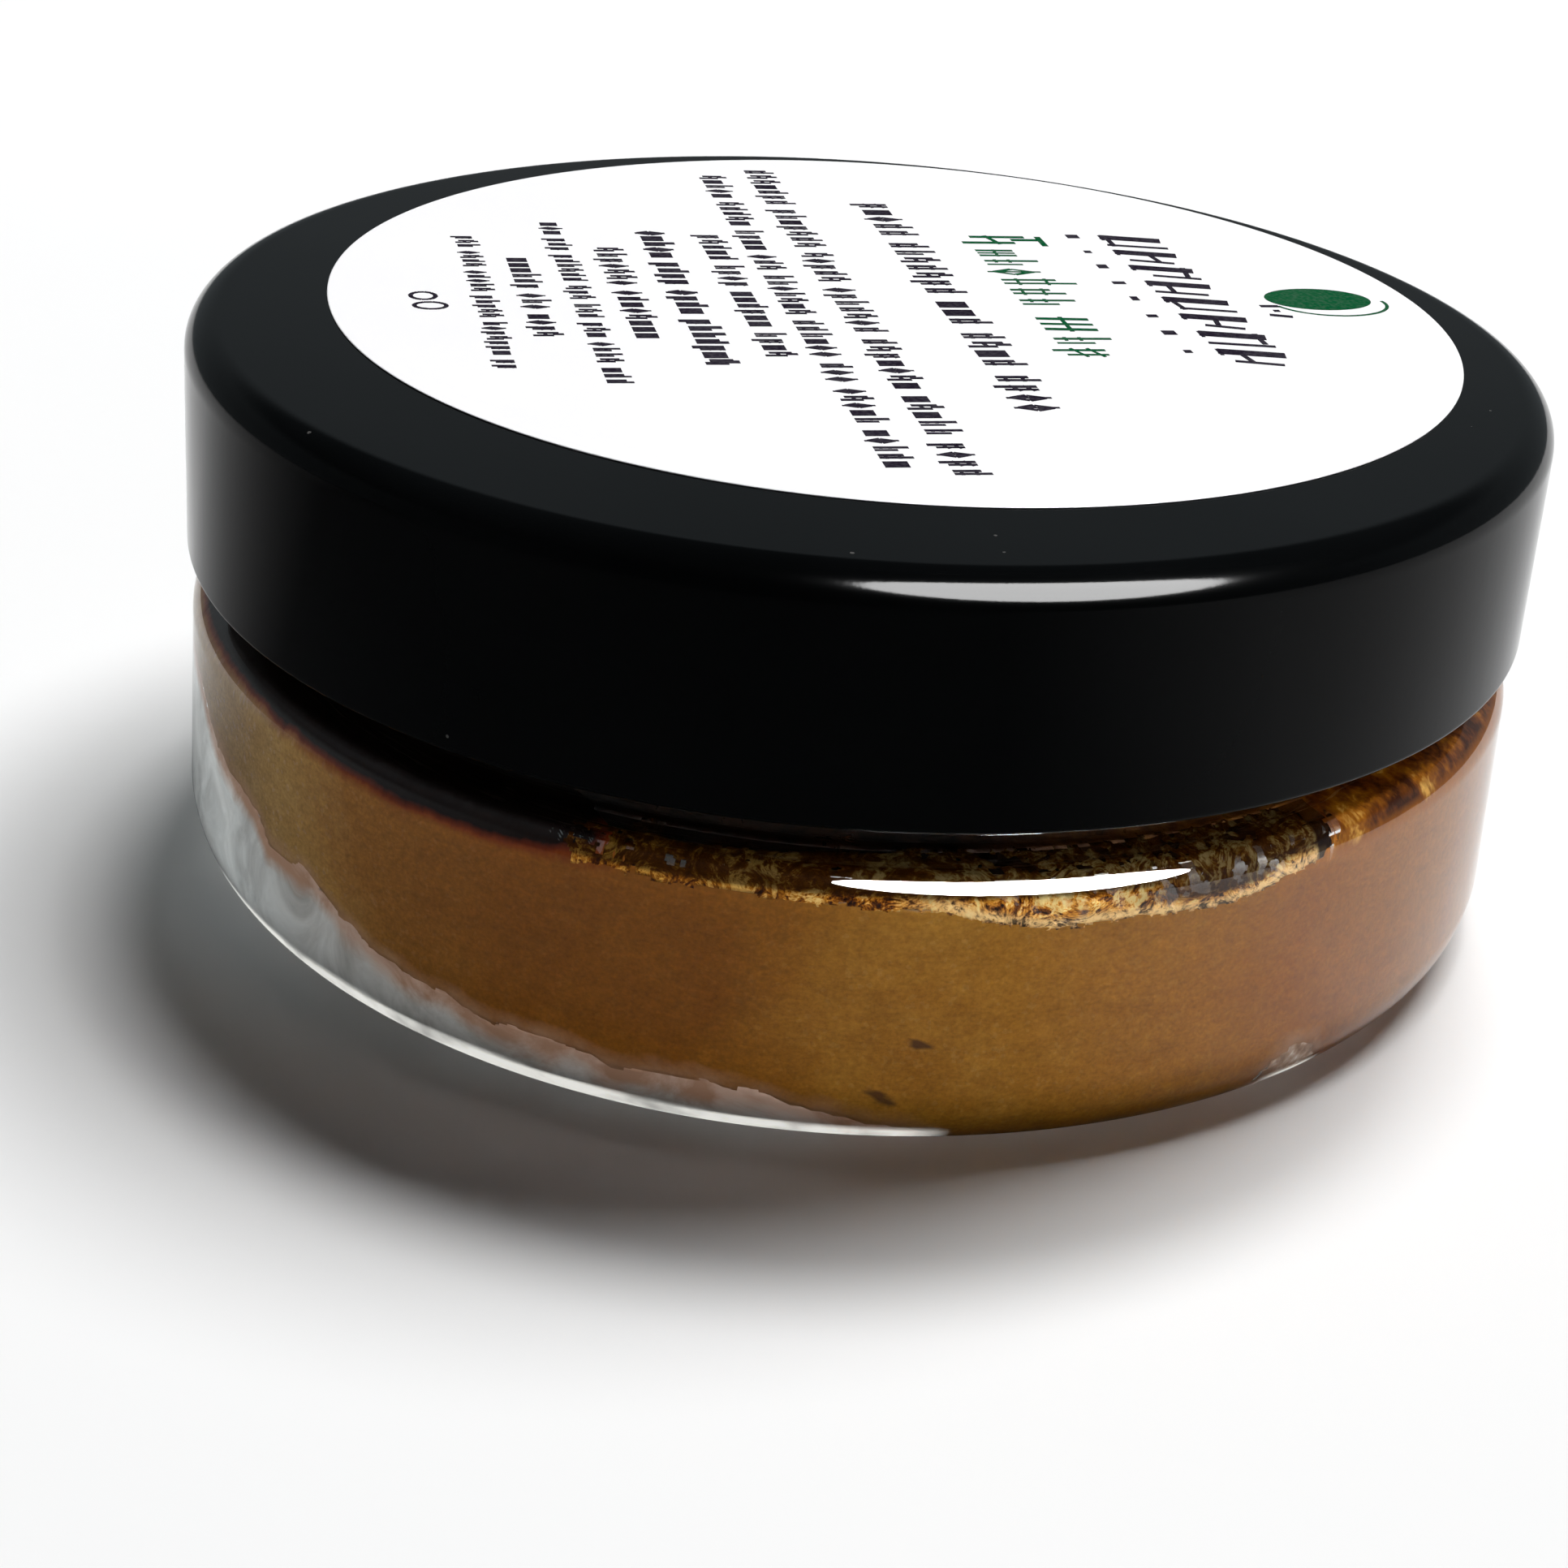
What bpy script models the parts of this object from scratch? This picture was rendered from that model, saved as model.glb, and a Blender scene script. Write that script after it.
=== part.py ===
"""A low screw-top jar of metallic wax: a clear thin-walled jar, a black screw lid with its foam liner and round paper label, the wax, and a small label in the recess underneath. Metres, +Z up, standing on z = 0."""

import math

import bmesh
import bpy

MM = 0.001

# Jar
JAR_R_SHOULDER = 29.35 * MM
JAR_R_HEEL = 29.60 * MM
JAR_HEEL_ROUND = 3.1 * MM
JAR_SHOULDER_Z = 12.6 * MM
JAR_SHOULDER_ROUND = 1.4 * MM
JAR_RIM_Z = 21.2 * MM
JAR_NECK_R = 26.8 * MM
JAR_NECK_ROOT_ROUND = 0.5 * MM
JAR_RIM_ROUND = 0.4 * MM
JAR_WALL = 1.0 * MM
JAR_NECK_IN_R = 25.7 * MM
JAR_NECK_IN_ROUND = 0.9 * MM
JAR_SHOULDER_IN_Z = 11.6 * MM
JAR_SHOULDER_IN_ROUND = 0.4 * MM
RECESS_R = 23.2 * MM
RECESS_DEPTH = 0.9 * MM
FOOT_IN_R = 24.0 * MM
FLOOR_Z = 1.9 * MM
FLOOR_LOW_Z = 1.0 * MM
FLOOR_LOW_R = 24.2 * MM
FLOOR_R = 23.0 * MM

# Lid
LID_R_TOP = 29.40 * MM
LID_R_BOTTOM = 29.50 * MM
LID_TOP_Z = 24.1 * MM
LID_BOTTOM_Z = 14.2 * MM
LID_EDGE_ROUND = 1.4 * MM
LID_INNER_R = 28.1 * MM
LID_PLATE_Z = 22.6 * MM

# Threads: one right-hand bead on each part, a constant step apart along the axis
PITCH = 4.0 * MM
BEAD_R = 0.75 * MM
NECK_BEAD_OUT = 0.2 * MM
NECK_BEAD_START_Z = 14.7 * MM
NECK_BEAD_TURNS = 1.3
LID_BEAD_IN = 0.25 * MM
LID_BEAD_START_Z = 15.6 * MM
LID_BEAD_TURNS = 1.15
LID_BEAD_BELOW = 1.7 * MM
BEAD_TAPER_DEG = 24.0

# Liner, labels and wax
LINER_R = 27.5 * MM
LINER_BOTTOM_Z = 21.35 * MM
LINER_TOP_Z = 22.5 * MM
LABEL_R = 25.0 * MM
LABEL_X = 1.0 * MM
LABEL_Y = 2.6 * MM
LABEL_THICK = 0.15 * MM
LABEL_GAP = 0.05 * MM
BASE_LABEL_R = 18.0 * MM
WAX_GAP = 0.06 * MM
WAX_TOP = ((0.0, 11.5), (8.0, 11.6), (15.0, 11.8), (20.0, 11.8), (24.0, 11.55), (26.5, 11.35), (28.2, 11.3))

SEGMENTS = 64


def cleared_scene():
    for found in list(bpy.data.objects):
        bpy.data.objects.remove(found, do_unlink=True)


def collection_of(name):
    made = bpy.data.collections.new(name)
    bpy.context.scene.collection.children.link(made)
    return made


def material_of(name, colour, roughness, metallic=0.0, transmission=0.0, ior=1.5):
    made = bpy.data.materials.new(name)
    made.use_nodes = True
    shader = made.node_tree.nodes["Principled BSDF"]
    shader.inputs["Base Color"].default_value = (*colour, 1.0)
    shader.inputs["Roughness"].default_value = roughness
    shader.inputs["Metallic"].default_value = metallic
    shader.inputs["Transmission Weight"].default_value = transmission
    shader.inputs["IOR"].default_value = ior
    made.diffuse_color = (*colour, 1.0)
    return made


def arc(cx, cz, radius, first, last, steps):
    """Points of an arc in the XZ plane, angles in degrees from +X."""
    found = []
    for i in range(steps + 1):
        a = math.radians(first + (last - first) * i / steps)
        found.append((cx + radius * math.cos(a), cz + radius * math.sin(a)))
    return found


def turned(name, profile, collection, material, at=(0.0, 0.0)):
    """A solid turned about its own Z from an open profile that starts and ends on the axis and runs down its outer side."""
    mesh = bpy.data.meshes.new(name)
    bm = bmesh.new()
    points = [bm.verts.new((x, 0.0, z)) for x, z in profile]
    for a, b in zip(points, points[1:]):
        bm.edges.new((a, b))
    bm.to_mesh(mesh)
    bm.free()
    made = bpy.data.objects.new(name, mesh)
    collection.objects.link(made)
    made.location = (at[0], at[1], 0.0)
    mesh.materials.append(material)
    screw = made.modifiers.new("Turn", "SCREW")
    screw.axis = "Z"
    screw.angle = 2.0 * math.pi
    screw.steps = SEGMENTS
    screw.render_steps = SEGMENTS
    screw.use_merge_vertices = True
    screw.merge_threshold = 0.00001
    screw.use_smooth_shade = True
    return made


def thread_bead(name, start_z, turns, phase_deg, radius_at, collection):
    """A closed helical bead with tapered ends, as a mesh, for a union."""
    steps = int(round(SEGMENTS * turns))
    curve = bpy.data.curves.new(name + "_path", "CURVE")
    curve.dimensions = "3D"
    curve.bevel_depth = BEAD_R
    curve.bevel_resolution = 2
    curve.use_fill_caps = True
    curve.resolution_u = 1
    spline = curve.splines.new("POLY")
    spline.points.add(steps)
    for i in range(steps + 1):
        turned_deg = 360.0 * turns * i / steps
        ends = min(turned_deg, 360.0 * turns - turned_deg) / BEAD_TAPER_DEG
        size = 0.3 + 0.7 * min(1.0, ends)
        a = math.radians(phase_deg + turned_deg)
        r = radius_at(size)
        z = start_z + PITCH * turned_deg / 360.0
        spline.points[i].co = (r * math.cos(a), r * math.sin(a), z, 1.0)
        spline.points[i].radius = size
    path = bpy.data.objects.new(name + "_path", curve)
    collection.objects.link(path)
    bpy.context.view_layer.update()
    graph = bpy.context.evaluated_depsgraph_get()
    mesh = bpy.data.meshes.new_from_object(path.evaluated_get(graph))
    bm = bmesh.new()
    bm.from_mesh(mesh)
    bmesh.ops.remove_doubles(bm, verts=bm.verts, dist=0.000001)
    bmesh.ops.recalc_face_normals(bm, faces=bm.faces)
    bm.to_mesh(mesh)
    bm.free()
    made = bpy.data.objects.new(name, mesh)
    made.matrix_world = path.matrix_world.copy()
    bpy.data.objects.remove(path, do_unlink=True)
    collection.objects.link(made)
    made.hide_render = True
    made.display_type = "WIRE"
    return made


def joined(target, other):
    union = target.modifiers.new("Thread", "BOOLEAN")
    union.operation = "UNION"
    union.solver = "EXACT"
    union.object = other


cleared_scene()
parts = collection_of("wax_jar")
cutters = collection_of("cutters")

clear_plastic = material_of("clear_plastic", (0.93, 0.95, 0.95), 0.04, transmission=1.0, ior=1.59)
black_plastic = material_of("black_plastic", (0.012, 0.012, 0.014), 0.28)
white_foam = material_of("white_foam", (0.86, 0.86, 0.84), 0.9)
label_paper = material_of("label_paper", (0.90, 0.89, 0.87), 0.6)
base_paper = material_of("base_paper", (0.90, 0.89, 0.86), 0.65)
copper_wax = material_of("copper_wax", (0.44, 0.25, 0.12), 0.45, metallic=0.55)

# Jar: inside from the middle of its floor up to the rim, over it, down the neck, the shoulder and the wall, round the heel and into the recess
heel_x = JAR_R_HEEL - JAR_HEEL_ROUND
shoulder_x = JAR_R_SHOULDER - JAR_SHOULDER_ROUND
wall_in_x = JAR_R_SHOULDER - JAR_WALL
jar_profile = [(0.0, FLOOR_Z), (FLOOR_R, FLOOR_Z), (FLOOR_LOW_R, FLOOR_LOW_Z)]
jar_profile += arc(heel_x, JAR_HEEL_ROUND, JAR_HEEL_ROUND - JAR_WALL, -90, 0, 5)
jar_profile += arc(wall_in_x - JAR_SHOULDER_IN_ROUND, JAR_SHOULDER_IN_Z - JAR_SHOULDER_IN_ROUND, JAR_SHOULDER_IN_ROUND, 0, 90, 2)
jar_profile += arc(JAR_NECK_IN_R + JAR_NECK_IN_ROUND, JAR_SHOULDER_IN_Z + JAR_NECK_IN_ROUND, JAR_NECK_IN_ROUND, -90, -180, 3)
jar_profile += arc(JAR_NECK_IN_R + JAR_RIM_ROUND, JAR_RIM_Z - JAR_RIM_ROUND, JAR_RIM_ROUND, 180, 90, 2)
jar_profile += arc(JAR_NECK_R - JAR_RIM_ROUND, JAR_RIM_Z - JAR_RIM_ROUND, JAR_RIM_ROUND, 90, 0, 2)
jar_profile += arc(JAR_NECK_R + JAR_NECK_ROOT_ROUND, JAR_SHOULDER_Z + JAR_NECK_ROOT_ROUND, JAR_NECK_ROOT_ROUND, 180, 270, 2)
jar_profile += arc(shoulder_x, JAR_SHOULDER_Z - JAR_SHOULDER_ROUND, JAR_SHOULDER_ROUND, 90, 0, 4)
jar_profile += arc(heel_x, JAR_HEEL_ROUND, JAR_HEEL_ROUND, 0, -90, 6)
jar_profile += [(FOOT_IN_R, 0.0), (RECESS_R, RECESS_DEPTH), (0.0, RECESS_DEPTH)]
jar_body = turned("jar_body", jar_profile, parts, clear_plastic)
neck_bead = thread_bead(
    "neck_bead",
    NECK_BEAD_START_Z,
    NECK_BEAD_TURNS,
    11.3,
    lambda size: JAR_NECK_R - 0.1 * MM + (NECK_BEAD_OUT + 0.1 * MM) * size,
    cutters,
)
joined(jar_body, neck_bead)

# Lid: its bead keeps one step below the neck's, at every turn
lid_profile = [(0.0, LID_TOP_Z)]
lid_profile += arc(LID_R_TOP - LID_EDGE_ROUND, LID_TOP_Z - LID_EDGE_ROUND, LID_EDGE_ROUND, 90, 0, 5)
lid_profile += [
    (LID_R_BOTTOM, LID_BOTTOM_Z + 0.25 * MM),
    (LID_R_BOTTOM - 0.25 * MM, LID_BOTTOM_Z),
    (LID_INNER_R + 0.25 * MM, LID_BOTTOM_Z),
    (LID_INNER_R, LID_BOTTOM_Z + 0.25 * MM),
    (LID_INNER_R, LID_PLATE_Z),
    (0.0, LID_PLATE_Z),
]
screw_lid = turned("screw_lid", lid_profile, parts, black_plastic)
lid_turned_deg = 360.0 * (LID_BEAD_START_Z + LID_BEAD_BELOW - NECK_BEAD_START_Z) / PITCH
lid_bead = thread_bead(
    "lid_bead",
    LID_BEAD_START_Z,
    LID_BEAD_TURNS,
    11.3 + lid_turned_deg,
    lambda size: LID_INNER_R + 0.05 * MM - (LID_BEAD_IN + 0.05 * MM) * size,
    cutters,
)
joined(screw_lid, lid_bead)

lid_liner = turned(
    "lid_liner",
    [(0.0, LINER_TOP_Z), (LINER_R, LINER_TOP_Z), (LINER_R, LINER_BOTTOM_Z), (0.0, LINER_BOTTOM_Z)],
    parts,
    white_foam,
)

label_low = LID_TOP_Z + LABEL_GAP
lid_label = turned(
    "lid_label",
    [(0.0, label_low + LABEL_THICK), (LABEL_R, label_low + LABEL_THICK), (LABEL_R, label_low), (0.0, label_low)],
    parts,
    label_paper,
    at=(LABEL_X, LABEL_Y),
)

# What turns with the lid hangs from an empty on the thread's axis
lid_axis = bpy.data.objects.new("lid_axis", None)
parts.objects.link(lid_axis)
lid_axis.empty_display_size = 0.01
for carried in (screw_lid, lid_liner, lid_label):
    carried.parent = lid_axis

base_top = RECESS_DEPTH - LABEL_GAP
base_label = turned(
    "base_label",
    [(0.0, base_top), (BASE_LABEL_R, base_top), (BASE_LABEL_R, base_top - LABEL_THICK), (0.0, base_top - LABEL_THICK)],
    parts,
    base_paper,
)

# Wax: an uneven top, then down the wall and over the floor at a constant gap
wax_profile = [(x * MM, z * MM) for x, z in WAX_TOP]
wax_profile += [(wall_in_x - WAX_GAP, 11.2 * MM)]
wax_profile += arc(heel_x, JAR_HEEL_ROUND, JAR_HEEL_ROUND - JAR_WALL - WAX_GAP, 0, -90, 5)
wax_profile += [(FLOOR_LOW_R + WAX_GAP, FLOOR_LOW_Z + WAX_GAP), (FLOOR_R + WAX_GAP, FLOOR_Z + WAX_GAP), (0.0, FLOOR_Z + WAX_GAP)]
wax_fill = turned("wax_fill", wax_profile, parts, copper_wax)

bpy.context.view_layer.update()
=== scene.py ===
"""Looks for the low screw-top wax jar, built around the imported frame."""

import math
import random

import bpy
import numpy as np
from mathutils import Matrix, Vector


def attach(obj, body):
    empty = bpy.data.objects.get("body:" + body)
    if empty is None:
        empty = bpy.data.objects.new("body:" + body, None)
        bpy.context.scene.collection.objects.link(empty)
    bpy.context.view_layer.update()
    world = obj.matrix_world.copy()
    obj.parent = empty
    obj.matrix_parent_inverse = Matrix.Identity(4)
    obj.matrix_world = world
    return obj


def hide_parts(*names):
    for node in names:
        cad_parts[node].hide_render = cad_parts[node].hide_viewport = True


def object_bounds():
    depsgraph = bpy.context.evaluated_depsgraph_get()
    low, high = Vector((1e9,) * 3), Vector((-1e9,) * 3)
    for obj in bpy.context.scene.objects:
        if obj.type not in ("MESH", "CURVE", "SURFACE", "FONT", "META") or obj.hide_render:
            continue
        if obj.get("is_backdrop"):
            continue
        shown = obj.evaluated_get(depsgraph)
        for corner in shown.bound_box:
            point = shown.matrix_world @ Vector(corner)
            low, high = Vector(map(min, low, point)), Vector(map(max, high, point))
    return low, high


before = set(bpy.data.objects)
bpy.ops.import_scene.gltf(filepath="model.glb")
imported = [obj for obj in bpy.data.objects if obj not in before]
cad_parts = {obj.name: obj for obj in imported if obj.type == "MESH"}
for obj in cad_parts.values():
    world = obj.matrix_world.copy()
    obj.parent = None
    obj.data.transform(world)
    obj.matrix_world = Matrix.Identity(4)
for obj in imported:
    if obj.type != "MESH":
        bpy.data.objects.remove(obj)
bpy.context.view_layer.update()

MM = 0.001
PITCH = 4.0

# ---------------------------------------------------------------- helpers


def smoothstep(x, a, b):
    t = np.clip((x - a) / (b - a), 0.0, 1.0)
    return t * t * (3.0 - 2.0 * t)


class Waves:
    """Seeded smooth noise: a sum of sines in 3-D, cheap on whole arrays."""

    def __init__(self, seed, scale, octaves=3, each=7):
        rng = np.random.default_rng(seed)
        self.terms = []
        for octave in range(octaves):
            for _ in range(each):
                d = rng.normal(size=3)
                d /= np.linalg.norm(d)
                k = (2.0 ** octave) / scale * (0.7 + 0.6 * rng.random())
                self.terms.append((d * k * 2 * math.pi, rng.random() * 2 * math.pi, 0.55 ** octave))
        self.norm = math.sqrt(sum(a * a for _, _, a in self.terms) / 2)

    def __call__(self, x, y, z):
        total = 0.0
        for k, phase, a in self.terms:
            total = total + a * np.sin(k[0] * x + k[1] * y + k[2] * z + phase)
        return total / self.norm


def arc(cx, cz, radius, first, last, steps):
    t = np.radians(np.linspace(first, last, steps + 1))
    return [(cx + radius * math.cos(a), cz + radius * math.sin(a)) for a in t]


def dressed(points, step=0.9, hold=0.07):
    """The profile with its long straight runs cut up, and a holding point close to each of their ends."""
    out = [points[0]]
    for (x0, z0), (x1, z1) in zip(points, points[1:]):
        length = math.hypot(x1 - x0, z1 - z0)
        if length < 1e-6:
            continue
        if length > 0.35:
            n = max(1, int(math.ceil((length - 2 * hold) / step)))
            ts = [hold / length] + [hold / length + (1 - 2 * hold / length) * i / n for i in range(1, n + 1)]
            out += [(x0 + (x1 - x0) * t, z0 + (z1 - z0) * t) for t in ts]
        out.append((x1, z1))
    return out


def mesh_object(name, verts, faces, material, smooth=True):
    mesh = bpy.data.meshes.new(name)
    mesh.from_pydata([tuple(v) for v in verts], [], faces)
    mesh.validate()
    mesh.polygons.foreach_set("use_smooth", [smooth] * len(mesh.polygons))
    mesh.update()
    made = bpy.data.objects.new(name, mesh)
    bpy.context.scene.collection.objects.link(made)
    for m in material if isinstance(material, (list, tuple)) else [material]:
        mesh.materials.append(m)
    return made


def revolved(name, profile, segments, material, deform=None, centre=(0.0, 0.0)):
    """A closed solid of revolution from a profile in mm that starts and ends on the axis and runs down its outer side."""
    prof = np.array(profile, float)
    inner = prof[1:-1]
    phi = np.linspace(0, 2 * math.pi, segments, endpoint=False)
    r = np.repeat(inner[:, 0][:, None], segments, 1)
    z = np.repeat(inner[:, 1][:, None], segments, 1)
    a = np.repeat(phi[None, :], len(inner), 0)
    if deform is not None:
        r, z = deform(r, z, a)
    x = r * np.cos(a) + centre[0]
    y = r * np.sin(a) + centre[1]
    verts = np.stack([x, y, z], -1).reshape(-1, 3)
    top, low = prof[0], prof[-1]
    ztop, zlow = top[1], low[1]
    if deform is not None:
        ztop = float(deform(np.array([[0.0]]), np.array([[ztop]]), np.array([[0.0]]))[1][0, 0])
        zlow = float(deform(np.array([[0.0]]), np.array([[zlow]]), np.array([[0.0]]))[1][0, 0])
    verts = np.concatenate([verts, [[centre[0], centre[1], ztop], [centre[0], centre[1], zlow]]])
    rows = len(inner)
    index = np.arange(rows * segments).reshape(rows, segments)
    nxt = np.roll(index, -1, 1)
    quads = np.stack([index[:-1], index[1:], nxt[1:], nxt[:-1]], -1).reshape(-1, 4).tolist()
    t, b = rows * segments, rows * segments + 1
    fans = [(t, int(index[0, j]), int(nxt[0, j])) for j in range(segments)]
    fans += [(b, int(nxt[-1, j]), int(index[-1, j])) for j in range(segments)]
    return mesh_object(name, verts * MM, [tuple(q) for q in quads] + fans, material)


def helix_bump(z, a, start_z, start_deg, turns, width=0.72, height=0.95, taper=26.0):
    """How far a helical bead stands out of its wall, at heights z and angles a."""
    total = 360.0 * turns
    best = np.zeros_like(z)
    base = (np.degrees(a) - start_deg) % 360.0
    for k in range(int(math.ceil(turns)) + 1):
        t = base + 360.0 * k
        ends = np.minimum(t, total - t) / taper
        size = np.clip(ends, 0.0, 1.0)
        size = size * size * (3 - 2 * size)
        dz = np.abs(z - (start_z + PITCH * t / 360.0)) / width
        bump = np.where(dz < 1.0, np.sqrt(np.clip(1.0 - dz * dz, 0, 1)), 0.0)
        foot = np.clip(1.35 - dz, 0, 1.35) / 1.35
        shape = np.maximum(bump * 0.93, 0) + 0.07 * foot * foot
        best = np.maximum(best, np.where((t >= 0) & (t <= total), height * size * shape, 0.0))
    return best


# ---------------------------------------------------------------- node helpers


class Tree:
    """A short way to write shader nodes."""

    def __init__(self, name):
        self.material = bpy.data.materials.new(name)
        self.material.use_nodes = True
        self.nodes = self.material.node_tree.nodes
        self.links = self.material.node_tree.links
        self.nodes.clear()
        self.out = self.nodes.new("ShaderNodeOutputMaterial")

    def new(self, kind, **values):
        node = self.nodes.new(kind)
        for key, value in values.items():
            setattr(node, key, value)
        return node

    def put(self, socket, value):
        if hasattr(value, "is_output") or hasattr(value, "links"):
            self.links.new(value, socket)
        elif value is not None:
            socket.default_value = value

    def math(self, op, a, b=None, c=None, clamp=False):
        node = self.new("ShaderNodeMath", operation=op, use_clamp=clamp)
        for socket, value in zip(node.inputs, (a, b, c)):
            self.put(socket, value)
        return node.outputs[0]

    def vmath(self, op, a, b=None):
        node = self.new("ShaderNodeVectorMath", operation=op)
        self.put(node.inputs[0], a)
        if b is not None:
            self.put(node.inputs[1], b)
        return node.outputs[0]

    def noise(self, vector, scale, detail=3.0, rough=0.55, distortion=0.0):
        node = self.new("ShaderNodeTexNoise")
        self.put(node.inputs["Vector"], vector)
        self.put(node.inputs["Scale"], scale)
        node.inputs["Detail"].default_value = detail
        node.inputs["Roughness"].default_value = rough
        node.inputs["Distortion"].default_value = distortion
        return node.outputs["Fac"]

    def noise_colour(self, at, scale):
        made = self.new("ShaderNodeTexNoise")
        self.put(made.inputs["Vector"], at)
        made.inputs["Scale"].default_value = scale
        return self.vmath("SUBTRACT", made.outputs["Color"], (0.5, 0.5, 0.5))

    def voronoi(self, vector, scale, feature="F1", out="Distance", randomness=1.0):
        node = self.new("ShaderNodeTexVoronoi", feature=feature)
        self.put(node.inputs["Vector"], vector)
        self.put(node.inputs["Scale"], scale)
        node.inputs["Randomness"].default_value = randomness
        return node.outputs[out]

    def ramp(self, fac, stops, mode="LINEAR"):
        node = self.new("ShaderNodeValToRGB")
        node.color_ramp.interpolation = mode
        while len(node.color_ramp.elements) < len(stops):
            node.color_ramp.elements.new(0.5)
        for element, (at, colour) in zip(node.color_ramp.elements, stops):
            element.position = at
            element.color = (*colour, 1.0) if len(colour) == 3 else colour
        self.put(node.inputs[0], fac)
        return node.outputs[0]

    def range(self, value, a, b, c=0.0, d=1.0, clamp=True):
        node = self.new("ShaderNodeMapRange", clamp=clamp)
        for socket, v in zip(node.inputs, (value, a, b, c, d)):
            self.put(socket, v)
        return node.outputs[0]

    def mix(self, fac, a, b, blend="MIX"):
        node = self.new("ShaderNodeMix", data_type="RGBA", blend_type=blend)
        self.put(node.inputs[0], fac)
        self.put(node.inputs[6], a)
        self.put(node.inputs[7], b)
        return node.outputs[2]

    def bump(self, height, strength, distance, normal=None):
        node = self.new("ShaderNodeBump")
        self.put(node.inputs["Height"], height)
        node.inputs["Strength"].default_value = strength
        node.inputs["Distance"].default_value = distance
        if normal is not None:
            self.put(node.inputs["Normal"], normal)
        return node.outputs[0]

    def coords(self):
        return self.new("ShaderNodeTexCoord").outputs["Object"]

    def principled(self, **values):
        node = self.new("ShaderNodeBsdfPrincipled")
        for key, value in values.items():
            self.put(node.inputs[key.replace("_", " ")], value)
        self.links.new(node.outputs[0], self.out.inputs["Surface"])
        return node


def rgb(r, g, b):
    """sRGB 0-255 to linear RGBA."""
    def one(c):
        c /= 255.0
        return c / 12.92 if c <= 0.04045 else ((c + 0.055) / 1.055) ** 2.4
    return (one(r), one(g), one(b), 1.0)


# ---------------------------------------------------------------- materials


def clear_plastic():
    t = Tree("clear_plastic_look")
    at = t.coords()
    scratch = t.noise(at, 900.0, 2.0)
    waves = t.noise(at, 70.0, 2.0)
    rough = t.range(scratch, 0.35, 0.75, 0.004, 0.03)
    normal = t.bump(waves, 0.12, 0.0002)
    # painted light: emission seen only by camera rays, along the heel where the attribute is set
    painted_heel_light = t.new("ShaderNodeAttribute", attribute_name="painted_heel_light").outputs["Fac"]
    painted_heel_light = t.math("MULTIPLY", painted_heel_light, t.range(t.noise(at, 330.0, 3.0), 0.3, 0.5, 0.45, 1.0))
    seen = t.new("ShaderNodeLightPath").outputs["Is Camera Ray"]
    t.principled(Base_Color=(0.965, 0.975, 0.97, 1), Roughness=rough, IOR=1.575, Transmission_Weight=1.0, Normal=normal, Specular_IOR_Level=0.30, Emission_Color=(0.96, 0.955, 0.90, 1), Emission_Strength=t.math("MULTIPLY", t.math("MULTIPLY", painted_heel_light, seen), 0.72))
    return t.material


def black_plastic():
    t = Tree("black_plastic_look")
    at = t.coords()
    grain = t.noise(at, 2600.0, 3.0, 0.6)
    broad = t.noise(at, 90.0, 3.0, 0.5)
    specks = t.voronoi(at, 520.0)
    dust = t.math("MULTIPLY", t.math("LESS_THAN", specks, 0.045), t.math("GREATER_THAN", t.noise(at, 140.0, 2.0), 0.60))
    colour = t.mix(t.range(broad, 0.3, 0.7), (0.0016, 0.0019, 0.0021, 1), (0.0026, 0.0030, 0.0033, 1))
    colour = t.mix(t.math("MULTIPLY", dust, 0.25), colour, (0.30, 0.29, 0.28, 1))
    rough = t.range(broad, 0.25, 0.75, 0.085, 0.12)
    normal = t.bump(grain, 0.06, 0.00003)
    t.principled(Base_Color=colour, Roughness=rough, IOR=1.5, Specular_IOR_Level=0.06, Normal=normal)
    return t.material


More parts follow.
